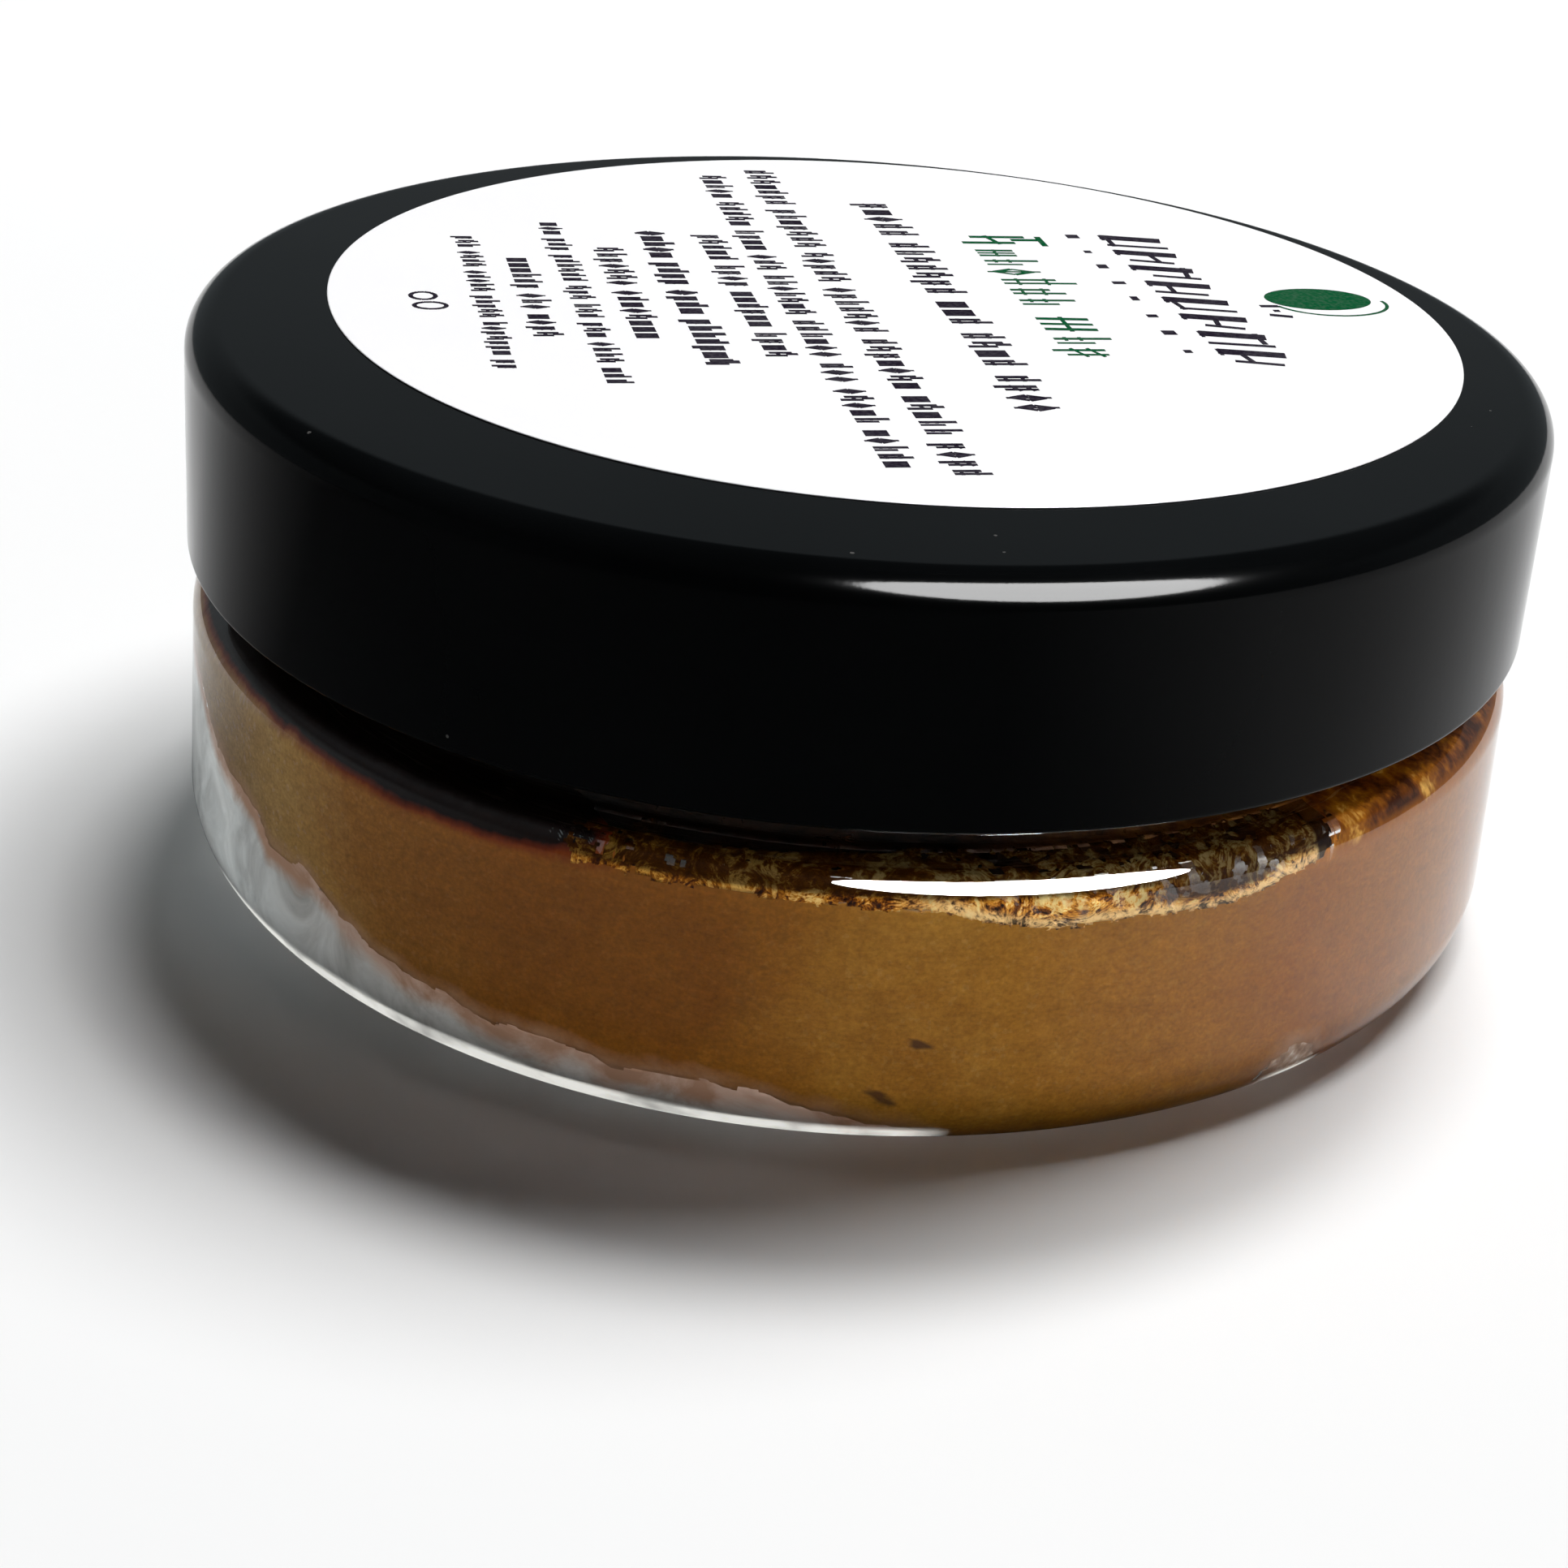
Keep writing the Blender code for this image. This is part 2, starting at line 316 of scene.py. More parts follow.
def wax_look(name):
    """Dense copper wax: fine-grained and nearly matt, paler and pinker where it thins out along the gap. Its brightness
    and tint also change round the jar as painted light and shade.
    """
    t = Tree(name)
    at = t.coords()
    broad = t.noise(at, 60.0, 4.0, 0.55, 0.8)
    streak = t.noise(t.vmath("MULTIPLY", at, (1.0, 1.0, 3.2)), 190.0, 4.0, 0.62, 1.2)
    mid = t.noise(at, 520.0, 4.0, 0.65)
    fine = t.noise(at, 2600.0, 3.0, 0.65)
    flakes = t.new("ShaderNodeTexVoronoi", feature="F1")
    t.put(flakes.inputs["Vector"], at)
    flakes.inputs["Scale"].default_value = 6000.0
    cell = t.new("ShaderNodeSeparateColor")
    t.put(cell.inputs[0], flakes.outputs["Color"])
    colour = t.ramp(broad, [(0.30, (0.335, 0.118, 0.0085)), (0.50, (0.390, 0.145, 0.0120)), (0.72, (0.445, 0.178, 0.0170))])
    colour = t.mix(t.range(streak, 0.45, 0.72, 0.0, 0.40), colour, (0.285, 0.098, 0.008, 1))
    colour = t.mix(t.range(mid, 0.5, 0.72, 0.0, 0.28), colour, (0.500, 0.215, 0.026, 1))
    colour = t.mix(t.range(fine, 0.35, 0.65, 0.22, 0.0), colour, (0.200, 0.065, 0.006, 1))
    glint = t.math("MULTIPLY", t.math("GREATER_THAN", cell.outputs[0], 0.94), 0.05)
    colour = t.mix(glint, colour, (0.80, 0.48, 0.16, 1))
    sides = t.new("ShaderNodeSeparateXYZ")
    t.put(sides.inputs[0], at)
    turn = t.math("ARCTAN2", sides.outputs[0], t.math("MULTIPLY", sides.outputs[1], -1.0))
    wander = t.math("MULTIPLY", t.math("SUBTRACT", broad, 0.5), 0.10)
    turn = t.math("ADD", t.math("ADD", t.math("MULTIPLY", turn, 0.5 / math.pi), 0.5), wander)
    # painted light and shade: brightness and tint by azimuth, darker to the front left and brighter to the front right,
    # as the light falls
    tone = t.ramp(turn, [(0.0, (0.090, 0.099, 0.12)), (0.28, (0.117, 0.207, 0.90)), (0.335, (0.117, 0.207, 0.90)), (0.365, (0.132, 0.217, 0.65)), (0.395, (0.087, 0.101, 0.158)), (0.425, (0.0744, 0.0725, 0.060)), (0.458, (0.0765, 0.0754, 0.050)), (0.489, (0.093, 0.1046, 0.091)), (0.53, (0.1197, 0.1558, 0.1795)), (0.585, (0.1175, 0.1336, 0.0858)), (0.62, (0.098, 0.088, 0.010)), (0.67, (0.106, 0.106, 0.040)), (0.76, (0.090, 0.094, 0.105)), (1.0, (0.090, 0.099, 0.12))])
    colour = t.vmath("MULTIPLY", colour, t.vmath("MULTIPLY", tone, (8.1, 7.5, 8.2)))
    grain = t.math("MULTIPLY", t.range(t.noise(at, 6500.0, 2.0, 0.6), 0.30, 0.70, 0.86, 1.14), t.range(t.noise(t.vmath("MULTIPLY", at, (1.0, 1.0, 2.4)), 1500.0, 4.0, 0.7, 1.0), 0.34, 0.66, 0.88, 1.12))
    combined = t.new("ShaderNodeCombineXYZ")
    for socket in combined.inputs:
        t.put(socket, grain)
    colour = t.vmath("MULTIPLY", colour, combined.outputs[0])
    gap = t.new("ShaderNodeAttribute", attribute_name="gap").outputs["Fac"]
    pale = t.range(gap, -0.75, 0.05, 0.0, 1.0)
    colour = t.mix(t.math("MULTIPLY", pale, t.range(mid, 0.35, 0.6, 0.35, 0.85)), colour, (0.46, 0.255, 0.150, 1))
    pit_shade_amount = t.new("ShaderNodeAttribute", attribute_name="pit_shade_amount").outputs["Fac"]
    # painted shade: darker colour where the pits and dents are
    colour = t.mix(t.range(pit_shade_amount, 0.05, 0.40, 0.0, 0.86), colour, (0.060, 0.022, 0.010, 1))
    rim = t.new("ShaderNodeAttribute", attribute_name="rim").outputs["Fac"]
    rough_edge = t.math("ADD", rim, t.math("MULTIPLY", t.math("SUBTRACT", mid, 0.5), 0.5))
    # painted light and shade: the fringe and the band over it are lit amber on the right, dark red and near black on
    # the left
    on_right = t.range(sides.outputs[0], 0.004, 0.016)
    fringe = t.mix(on_right, (0.150, 0.018, 0.0006, 1), (0.330, 0.105, 0.004, 1))
    flakes_too = t.math("ADD", t.math("MULTIPLY", mid, 0.75), t.math("MULTIPLY", t.noise(at, 1300.0, 3.0, 0.6, 1.5), 0.25))
    flaked = t.ramp(flakes_too, [(0.40, (0.050, 0.010, 0.0003)), (0.49, (0.17, 0.044, 0.0010)), (0.57, (0.34, 0.115, 0.003)), (0.66, (0.85, 0.48, 0.10))])
    above = t.mix(on_right, (0.004, 0.0008, 0.0002, 1), flaked)
    there = t.math("GREATER_THAN", rim, 0.001)
    colour = t.mix(t.math("MULTIPLY", there, t.range(rough_edge, 0.02, 0.35)), colour, fringe)
    colour = t.mix(t.math("MULTIPLY", there, t.range(rough_edge, 0.27, 0.52)), colour, above)
    rgh = t.range(cell.outputs[1], 0.0, 1.0, 0.42, 0.62)
    height = t.math("ADD", t.math("MULTIPLY", fine, 0.6), t.math("MULTIPLY", cell.outputs[2], 0.5))
    normal = t.bump(height, 0.30, 0.00003)
    t.principled(Base_Color=colour, Metallic=0.22, Roughness=rgh, Normal=normal, IOR=1.45, Specular_IOR_Level=0.15)
    return t.material


def neck_smear():
    """The thin smear of wax inside the neck, with painted light and shade: nearly black on the left as painted shade,
    glowing amber with flakes on the right as painted light.
    """
    t = Tree("neck_smear_look")
    at = t.coords()
    parts = t.new("ShaderNodeSeparateXYZ")
    t.put(parts.inputs[0], at)
    patches = t.noise(at, 480.0, 4.0, 0.65, 0.8)
    fine = t.noise(at, 2400.0, 3.0, 0.6)
    amber = t.ramp(patches, [(0.36, (0.055, 0.016, 0.001)), (0.50, (0.22, 0.070, 0.004)), (0.62, (0.36, 0.135, 0.012)), (0.72, (0.62, 0.33, 0.08))])
    painted_shade_smear = t.ramp(patches, [(0.36, (0.004, 0.001, 0.0005)), (0.60, (0.022, 0.006, 0.001)), (0.75, (0.060, 0.020, 0.003))])
    # painted light and shade: the nearly black copy on the left, the lit amber copy on the right
    side = t.range(parts.outputs[0], 0.004, 0.019)
    colour = t.mix(side, painted_shade_smear, amber)
    normal = t.bump(t.math("ADD", fine, patches), 0.7, 0.00012)
    t.principled(Base_Color=colour, Metallic=0.45, Roughness=t.range(patches, 0.3, 0.7, 0.50, 0.22), Normal=normal)
    return t.material


def gold_film():
    t = Tree("gold_film_look")
    at = t.coords()
    patches = t.noise(at, 520.0, 5.0, 0.7, 1.5)
    fine = t.noise(at, 2600.0, 3.0, 0.6)
    shards = t.new("ShaderNodeTexVoronoi", feature="F1")
    t.put(shards.inputs["Vector"], t.vmath("ADD", at, t.vmath("MULTIPLY", t.noise_colour(at, 900.0), (0.0008, 0.0008, 0.0008))))
    shards.inputs["Scale"].default_value = 3200.0
    cell = t.new("ShaderNodeSeparateColor")
    t.put(cell.inputs[0], shards.outputs["Color"])
    folds = t.math("ABSOLUTE", t.math("SUBTRACT", t.noise(t.vmath("MULTIPLY", at, (1.0, 1.0, 1.5)), 620.0, 5.0, 0.68, 2.6), 0.5))
    level = t.math("ADD", t.math("MULTIPLY", patches, 0.70), t.math("ADD", t.math("MULTIPLY", cell.outputs[0], 0.10), t.math("SUBTRACT", 0.26, t.math("MULTIPLY", folds, 1.3))))
    colour = t.ramp(level, [(0.43, (0.014, 0.003, 0.0003)), (0.50, (0.10, 0.022, 0.0008)), (0.56, (0.36, 0.105, 0.003)), (0.62, (0.88, 0.38, 0.034)), (0.69, (1.0, 0.76, 0.30))])
    parts = t.new("ShaderNodeSeparateXYZ")
    t.put(parts.inputs[0], at)
    deep = t.ramp(level, [(0.42, (0.020, 0.004, 0.0003)), (0.52, (0.10, 0.022, 0.0008)), (0.61, (0.34, 0.110, 0.004)), (0.71, (0.90, 0.48, 0.08))])
    colour = t.mix(t.range(parts.outputs[0], -0.006, 0.003), deep, colour)
    bead = t.new("ShaderNodeAttribute", attribute_name="bead").outputs["Fac"]
    colour = t.mix(t.math("MULTIPLY", bead, t.range(level, 0.46, 0.60, 0.10, 0.95)), colour, (1.0, 0.70, 0.32, 1))
    # painted shade: nearly black high in the pocket under the lid's shade, and in the pocket's upper part on the right
    dark = t.new("ShaderNodeAttribute", attribute_name="upper").outputs["Fac"]
    colour = t.mix(t.math("MULTIPLY", dark, t.range(level, 0.60, 0.74, 0.97, 0.86)), colour, (0.026, 0.008, 0.0005, 1))
    rim = t.new("ShaderNodeAttribute", attribute_name="outline").outputs["Fac"]
    colour = t.mix(t.range(rim, 0.2, 0.7, 0.0, 0.95), colour, (0.012, 0.003, 0.0005, 1))
    height = t.math("ADD", t.math("MULTIPLY", fine, 0.7), t.math("MULTIPLY", cell.outputs[2], 1.2))
    normal = t.bump(height, 1.0, 0.00018)
    shine = t.math("SUBTRACT", 1.0, t.math("MULTIPLY", dark, 0.9))
    t.principled(Base_Color=colour, Metallic=t.math("MULTIPLY", shine, 0.26), Roughness=t.range(cell.outputs[1], 0, 1, 0.26, 0.52), Normal=normal, Specular_IOR_Level=t.math("MULTIPLY", shine, 0.10))
    return t.material


def ink_look(name, tone):
    """Printing ink: dense, with the paper just showing through here and there."""
    t = Tree(name)
    at = t.coords()
    grain = t.noise(at, 5200.0, 2.0, 0.5)
    wide = t.noise(at, 240.0, 2.0, 0.5)
    colour = t.mix(t.range(grain, 0.40, 0.68, 0.0, 0.05), tone, (0.52, 0.52, 0.54, 1))
    colour = t.mix(t.range(wide, 0.40, 0.62, 0.0, 0.04), colour, (0.30, 0.30, 0.31, 1))
    t.principled(Base_Color=colour, Roughness=t.range(grain, 0.3, 0.7, 0.55, 0.70), Normal=t.bump(grain, 0.1, 0.00001), Specular_IOR_Level=0.0)
    return t.material


def haze_look():
    t = Tree("gap_haze_look")
    at = t.coords()
    cloud = t.noise(at, 260.0, 6.0, 0.62, 0.8)
    fine = t.noise(at, 1500.0, 3.0, 0.6)
    parts = t.new("ShaderNodeSeparateXYZ")
    t.put(parts.inputs[0], at)
    colour = t.ramp(cloud, [(0.32, (0.50, 0.50, 0.49)), (0.48, (0.72, 0.725, 0.71)), (0.66, (0.93, 0.93, 0.915))])
    painted_shade_haze = t.ramp(cloud, [(0.32, (0.26, 0.235, 0.21)), (0.50, (0.46, 0.44, 0.415)), (0.68, (0.66, 0.645, 0.62))])
    # painted light and shade: pale on the far left, a darker copy towards the front
    colour = t.mix(t.range(parts.outputs[0], -0.0245, -0.0190), colour, painted_shade_haze)
    colour = t.mix(t.range(fine, 0.35, 0.7, 0.0, 0.15), colour, (0.52, 0.47, 0.42, 1))
    edge = t.new("ShaderNodeAttribute", attribute_name="gap").outputs["Fac"]
    edge = t.math("ADD", edge, t.math("MULTIPLY", t.math("SUBTRACT", cloud, 0.5), 1.2))
    pink = t.mix(t.range(cloud, 0.42, 0.56), (0.40, 0.215, 0.130, 1), (0.55, 0.36, 0.27, 1))
    colour = t.mix(t.range(edge, 1.15, 0.35, 0.0, 0.92), colour, pink)
    speck = t.ramp(fine, [(0.40, (0.22, 0.115, 0.060)), (0.52, (0.38, 0.235, 0.150)), (0.62, (0.55, 0.42, 0.33)), (0.72, (0.90, 0.88, 0.84))])
    colour = t.mix(t.range(parts.outputs[0], 0.010, 0.014), colour, speck)
    # painted light: the haze gives off light for rays seen through the clear wall, most on the far left
    painted_haze_light = t.math("MULTIPLY", t.range(parts.outputs[0], -0.0265, -0.0190, 0.26, 0.05), t.new("ShaderNodeLightPath").outputs["Is Transmission Ray"])
    t.principled(Base_Color=colour, Roughness=0.5, Normal=t.bump(cloud, 0.3, 0.0001), Specular_IOR_Level=0.1, Emission_Color=colour, Emission_Strength=painted_haze_light)
    return t.material


def foam():
    t = Tree("foam_look")
    at = t.coords()
    cells = t.voronoi(at, 2600.0)
    broad = t.noise(at, 120.0, 3.0)
    colour = t.mix(t.range(broad, 0.3, 0.7), (0.80, 0.79, 0.76, 1), (0.88, 0.875, 0.85, 1))
    normal = t.bump(cells, 0.5, 0.0001)
    t.principled(Base_Color=colour, Roughness=0.85, Normal=normal)
    return t.material


def paper_plain(name, tone):
    t = Tree(name)
    at = t.coords()
    fibre = t.noise(at, 1500.0, 4.0, 0.65)
    broad = t.noise(at, 60.0, 3.0)
    colour = t.mix(t.range(broad, 0.3, 0.7), tone, tuple(c * 0.975 for c in tone[:3]) + (1,))
    normal = t.bump(fibre, 0.15, 0.00005)
    t.principled(Base_Color=colour, Roughness=0.55, Normal=normal)
    return t.material


def floor_look():
    """A pale floor. In glossy reflections its front is dark, as where a dark room stands in front of the table."""
    t = Tree("floor_look")
    at = t.coords()
    fine = t.noise(at, 420.0, 3.0)
    broad = t.noise(at, 9.0, 3.0)
    colour = t.mix(t.range(broad, 0.3, 0.7), (0.86, 0.862, 0.865, 1), (0.885, 0.885, 0.885, 1))
    parts = t.new("ShaderNodeSeparateXYZ")
    t.put(parts.inputs[0], at)
    x, y = parts.outputs[0], parts.outputs[1]
    far = t.math("SQRT", t.math("ADD", t.math("MULTIPLY", x, x), t.math("MULTIPLY", y, y)))
    ahead = t.math("DIVIDE", t.math("SUBTRACT", t.math("MULTIPLY", y, -1.0), t.math("MULTIPLY", x, 0.6)), far)
    sector = t.range(ahead, 0.05, 0.75)
    ray = t.new("ShaderNodeLightPath")
    glossy = t.math("SUBTRACT", ray.outputs["Is Glossy Ray"], ray.outputs["Is Transmission Ray"], clamp=True)
    colour = t.mix(t.math("MULTIPLY", t.math("MULTIPLY", sector, glossy), 0.90), colour, (0.002, 0.002, 0.002, 1))
    normal = t.bump(fine, 0.05, 0.0002)
    t.principled(Base_Color=colour, Roughness=0.55, Normal=normal, Specular_IOR_Level=0.0)
    return t.material


CLEAR = clear_plastic()
BLACK = black_plastic()
WAX = wax_look("copper_wax_look")
NECK_SMEAR_PAINTED_SHADE = neck_smear()
GOLD_FILM = gold_film()
HAZE = haze_look()
FOAM = foam()
INK = ink_look("ink_dark_look", (0.012, 0.008, 0.018, 1))
INK_GREEN = ink_look("ink_green_look", (0.0010, 0.080, 0.025, 1))
LABEL = paper_plain("label_paper_look", (0.86, 0.855, 0.87, 1))
BASE_PAPER = paper_plain("base_paper_look", (0.86, 0.85, 0.82, 1))

# ---------------------------------------------------------------- jar

NECK_R = 26.8
inner_line = [(0.0, 1.9), (22.9, 1.9)] + arc(22.9, 1.5, 0.4, 90, 40, 4)[1:] + arc(24.25, 1.45, 0.45, 220, 270, 4)
inner_line += arc(26.5, 3.1, 2.1, -90, 0, 18)
inner_line += arc(27.95, 11.2, 0.4, 0, 90, 7)
inner_line += arc(26.6, 12.5, 0.9, -90, -180, 10)
inner_line += [(25.7, 20.75)]
jar_profile = list(inner_line)
jar_profile += arc(26.05, 20.85, 0.35, 180, 90, 6)
jar_profile += arc(26.45, 20.85, 0.35, 90, 0, 6)
jar_profile += [(NECK_R, float(z)) for z in np.arange(20.72, 13.2, -0.11)]
jar_profile += arc(27.3, 13.1, 0.5, 180, 262, 7)
jar_profile += [(27.45, 12.575), (27.8, 12.46), (28.15, 12.33)]
jar_profile += arc(28.09, 11.0, 1.26, 70, 0, 14)
jar_profile += arc(26.5, 3.1, 3.1, 0, -90, 22)
jar_profile += arc(24.3, 0.3, 0.3, -90, -180, 4)
jar_profile += arc(23.3, 0.6, 0.3, 0, 90, 4) + [(0.0, 0.9)]


def jar_deform(r, z, a):
    outer = (r > 26.75) & (z > 13.05) & (z < 20.75)
    r = np.where(outer, r + helix_bump(z, a, 14.7, 11.3, 1.3), r)
    return r, z


jar = revolved("jar_clear", dressed(jar_profile), 256, CLEAR, jar_deform)
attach(jar, "jar")
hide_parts("jar_body")

# The jar's inside as a line that the wax and its films follow, in mm
INNER = np.array(dressed(inner_line, step=0.5), float)
INNER_S = np.concatenate([[0.0], np.cumsum(np.hypot(*np.diff(INNER, axis=0).T))])
_t = np.gradient(INNER, INNER_S, axis=0)
_t /= np.hypot(_t[:, 0], _t[:, 1])[:, None]
INNER_N = np.stack([-_t[:, 1], _t[:, 0]], -1)  # into the hollow


def inside(s, off):
    """Radius and height a distance off the jar's inside, towards the hollow."""
    r = np.interp(s, INNER_S, INNER[:, 0]) + off * np.interp(s, INNER_S, INNER_N[:, 0])
    z = np.interp(s, INNER_S, INNER[:, 1]) + off * np.interp(s, INNER_S, INNER_N[:, 1])
    return r, z


_wall = (INNER[:, 0] > 28.0) & (INNER[:, 1] < 11.25) & (INNER[:, 1] > 2.0)


def s_at(z):
    """Where along the inside the wall has this height."""
    return np.interp(z, INNER[_wall, 1], INNER_S[_wall])


S_HEEL_LOW = float(INNER_S[np.argmin(np.abs(INNER[:, 0] - 24.3) + np.abs(INNER[:, 1] - 1.0))])
S_WALL_TOP = float(s_at(11.2))
S_SHOULDER_END = float(INNER_S[np.argmin(np.abs(INNER[:, 0] - 26.6) + np.abs(INNER[:, 1] - 11.6))])
S_NECK = float(INNER_S[np.argmin(np.abs(INNER[:, 0] - 25.7) + np.abs(INNER[:, 1] - 12.5))])

# ---------------------------------------------------------------- wax

rough_top = Waves(5, 9.0, 3)
fine_top = Waves(6, 2.2, 2)
edge_noise = Waves(11, 3.2, 3)
edge_fine = Waves(12, 1.0, 2)


def round_curve(points):
    """A curve of height against azimuth in degrees, 0 at the front (-Y) and 90 at the right (+X), all the way round."""
    pts = sorted(points)
    x = [p[0] for p in pts]
    y = [p[1] for p in pts]
    x = [x[-1] - 360] + x + [x[0] + 360]
    y = [y[-1]] + y + [y[0]]
    return lambda az: np.interp(az, x, y)


# Upper edge of the wax on the wall, and the edge of the gap low on the left where it has come away from the wall
wax_upper = round_curve([(-180, 11.0), (-150, 10.8), (-120, 11.1), (-80, 11.15), (-60, 11.0), (-41, 10.95), (-38.5, 10.6), (-36, 10.9), (-29.8, 10.85), (-20, 11.0), (-8, 11.0), (0, 10.85), (8, 10.8), (10, 10.5), (14.5, 10.1), (17.6, 9.95), (19.5, 10.15), (23.4, 10.15), (29, 9.98), (33.5, 10.2), (36.6, 10.6), (39.5, 10.85), (41.2, 11.05), (60, 11.1), (90, 11.0), (130, 10.7), (160, 11.05)])
gap_upper = round_curve([(-180, 0.0), (-165, 0.4), (-150, 2.0), (-135, 4.5), (-115, 8.0), (-95, 10.0), (-80, 9.9), (-69.4, 9.3), (-63.6, 7.5), (-57, 6.9), (-54.9, 6.7), (-52.6, 5.75), (-46.4, 5.7), (-41.9, 4.4), (-36.5, 3.8), (-31.3, 3.45), (-26.6, 3.0), (-20.7, 2.95), (-17.5, 2.65), (-9.6, 2.9), (-5.7, 2.5), (0, 2.1), (5, 1.6), (9.3, 0.9), (10.5, 0.0), (140, 0.0), (150, 1.8), (158, 2.4), (166, 1.5), (172, 0.0)])


def azimuth(phi):
    return (np.degrees(phi) + 90.0 + 180.0) % 360.0 - 180.0


def gap_amount(az, z):
    """How far a point of the wall lies inside the gap, in mm: positive where the wax has come away."""
    x = 28.4 * np.sin(np.radians(az))
    y = -28.4 * np.cos(np.radians(az))
    ragged = 0.10 * edge_noise(x, y, z) + 0.035 * edge_fine(x, y, z)
    main = gap_upper(az) + ragged * np.minimum(1.0, gap_upper(az)) - z
    patch = 1.0 - np.hypot((az - 39.6) / 2.7, (z - 1.2) / 1.25)
    return np.maximum(main, patch * 1.2 + ragged * 2.0)


def pit(az, z, az0, z0, w, h, tilt=0.0):
    u = (az - az0) * 0.5
    v = z - z0
    c, s = math.cos(tilt), math.sin(tilt)
    return 1.0 - np.hypot((c * u + s * v) / w, (-s * u + c * v) / h)


def wax_offset(az, s):
    """How far the wax's skin lies inside the jar's own inside; a little less than nothing where it wets the wall."""
    r, z = inside(s, 0.0)
    x = r * np.sin(np.radians(az))
    y = -r * np.cos(np.radians(az))
    lump = 0.12 * rough_top(x, y, z) + 0.05 * fine_top(x, y, z)
    deep = smoothstep(gap_amount(az, z), 0.0, 0.7) * (1.15 + lump) * smoothstep(r, 20.5, 24.5)
    return -0.02 + deep


def wax_top_z(x, y):
    """Height of the scooped wax surface."""
    r = np.hypot(x, y)
    swipe = 0.0
    for cx, cy, rad, width, depth in ((4, -30, 34, 3.4, 1.3), (-6, -34, 30, 3.0, 1.0), (9, -26, 42, 3.8, 1.1), (30, 6, 26, 3.2, 0.8)):
        d = np.hypot(x - cx, y - cy) - rad
        swipe = swipe - depth * np.exp(-((d / width) ** 2)) + 0.35 * depth * np.exp(-(((np.abs(d) - width * 1.5) / (width * 0.45)) ** 2))
    fade = smoothstep(r, 25.0, 21.0)
    z = 11.45 + swipe * fade + 0.10 * rough_top(x, y, 0) + 0.04 * fine_top(x, y, 0)
    return np.minimum(z, 12.0)


def closed_from_rows(name, r, z, phi, z_first, z_last, material):
    """A closed mesh from rings of radius and height, with a pole at each end, outermost order running up to down."""
    seg = len(phi)
    a = np.repeat(phi[None, :], len(r), 0)
    verts = np.stack([r * np.cos(a), r * np.sin(a), z], -1).reshape(-1, 3)
    verts = np.concatenate([verts, [[0, 0, z_first], [0, 0, z_last]]])
    rows = len(r)
    index = np.arange(rows * seg).reshape(rows, seg)
    nxt = np.roll(index, -1, 1)
    quads = np.stack([index[:-1], index[1:], nxt[1:], nxt[:-1]], -1).reshape(-1, 4).tolist()
    t, b = rows * seg, rows * seg + 1
    fans = [(t, int(index[0, j]), int(nxt[0, j])) for j in range(seg)]
    fans += [(b, int(nxt[-1, j]), int(index[-1, j])) for j in range(seg)]
    return mesh_object(name, verts * MM, [tuple(q) for q in quads] + fans, material)


def painted_pit_shade(az, z):
    """Painted shade for small pits and dents in the wax against the wall: the colour darkens, the shape is not dented.
    """
    pit_shade_amount = 0.55 * smoothstep(pit(az, z, 6.7, 5.1, 0.46, 0.27, -0.2), 0.0, 0.35)
    pit_shade_amount = np.maximum(pit_shade_amount, 0.5 * smoothstep(pit(az, z, 4.2, 2.75, 0.75, 0.24, -0.55), 0.0, 0.4))
    pit_shade_amount = np.maximum(pit_shade_amount, 0.4 * smoothstep(pit(az, z, -1.1, 8.8, 0.16, 0.22), 0.0, 0.4))
    return np.maximum(pit_shade_amount, 0.4 * smoothstep(pit(az, z, -3.9, 2.1, 0.2, 0.16), 0.0, 0.4))


def give(made, name, values):
    """Stores one number a vertex on a mesh, for its material."""
    made.data.attributes.new(name, "FLOAT", "POINT").data.foreach_set("value", np.asarray(values, np.float32))


def vertex_places(made):
    co = np.zeros(len(made.data.vertices) * 3, np.float32)
    made.data.vertices.foreach_get("co", co)
    co = co.reshape(-1, 3) / MM
    return azimuth(np.arctan2(co[:, 1], co[:, 0])), np.hypot(co[:, 0], co[:, 1]), co[:, 2]


def in_pocket(az):
    """1 where the wax stops on the wall, under the pocket and the flaked band, and 0 where it wets the shoulder as well."""
    return smoothstep(az, -25.0, -14.0) * smoothstep(az, 42.6, 40.6)


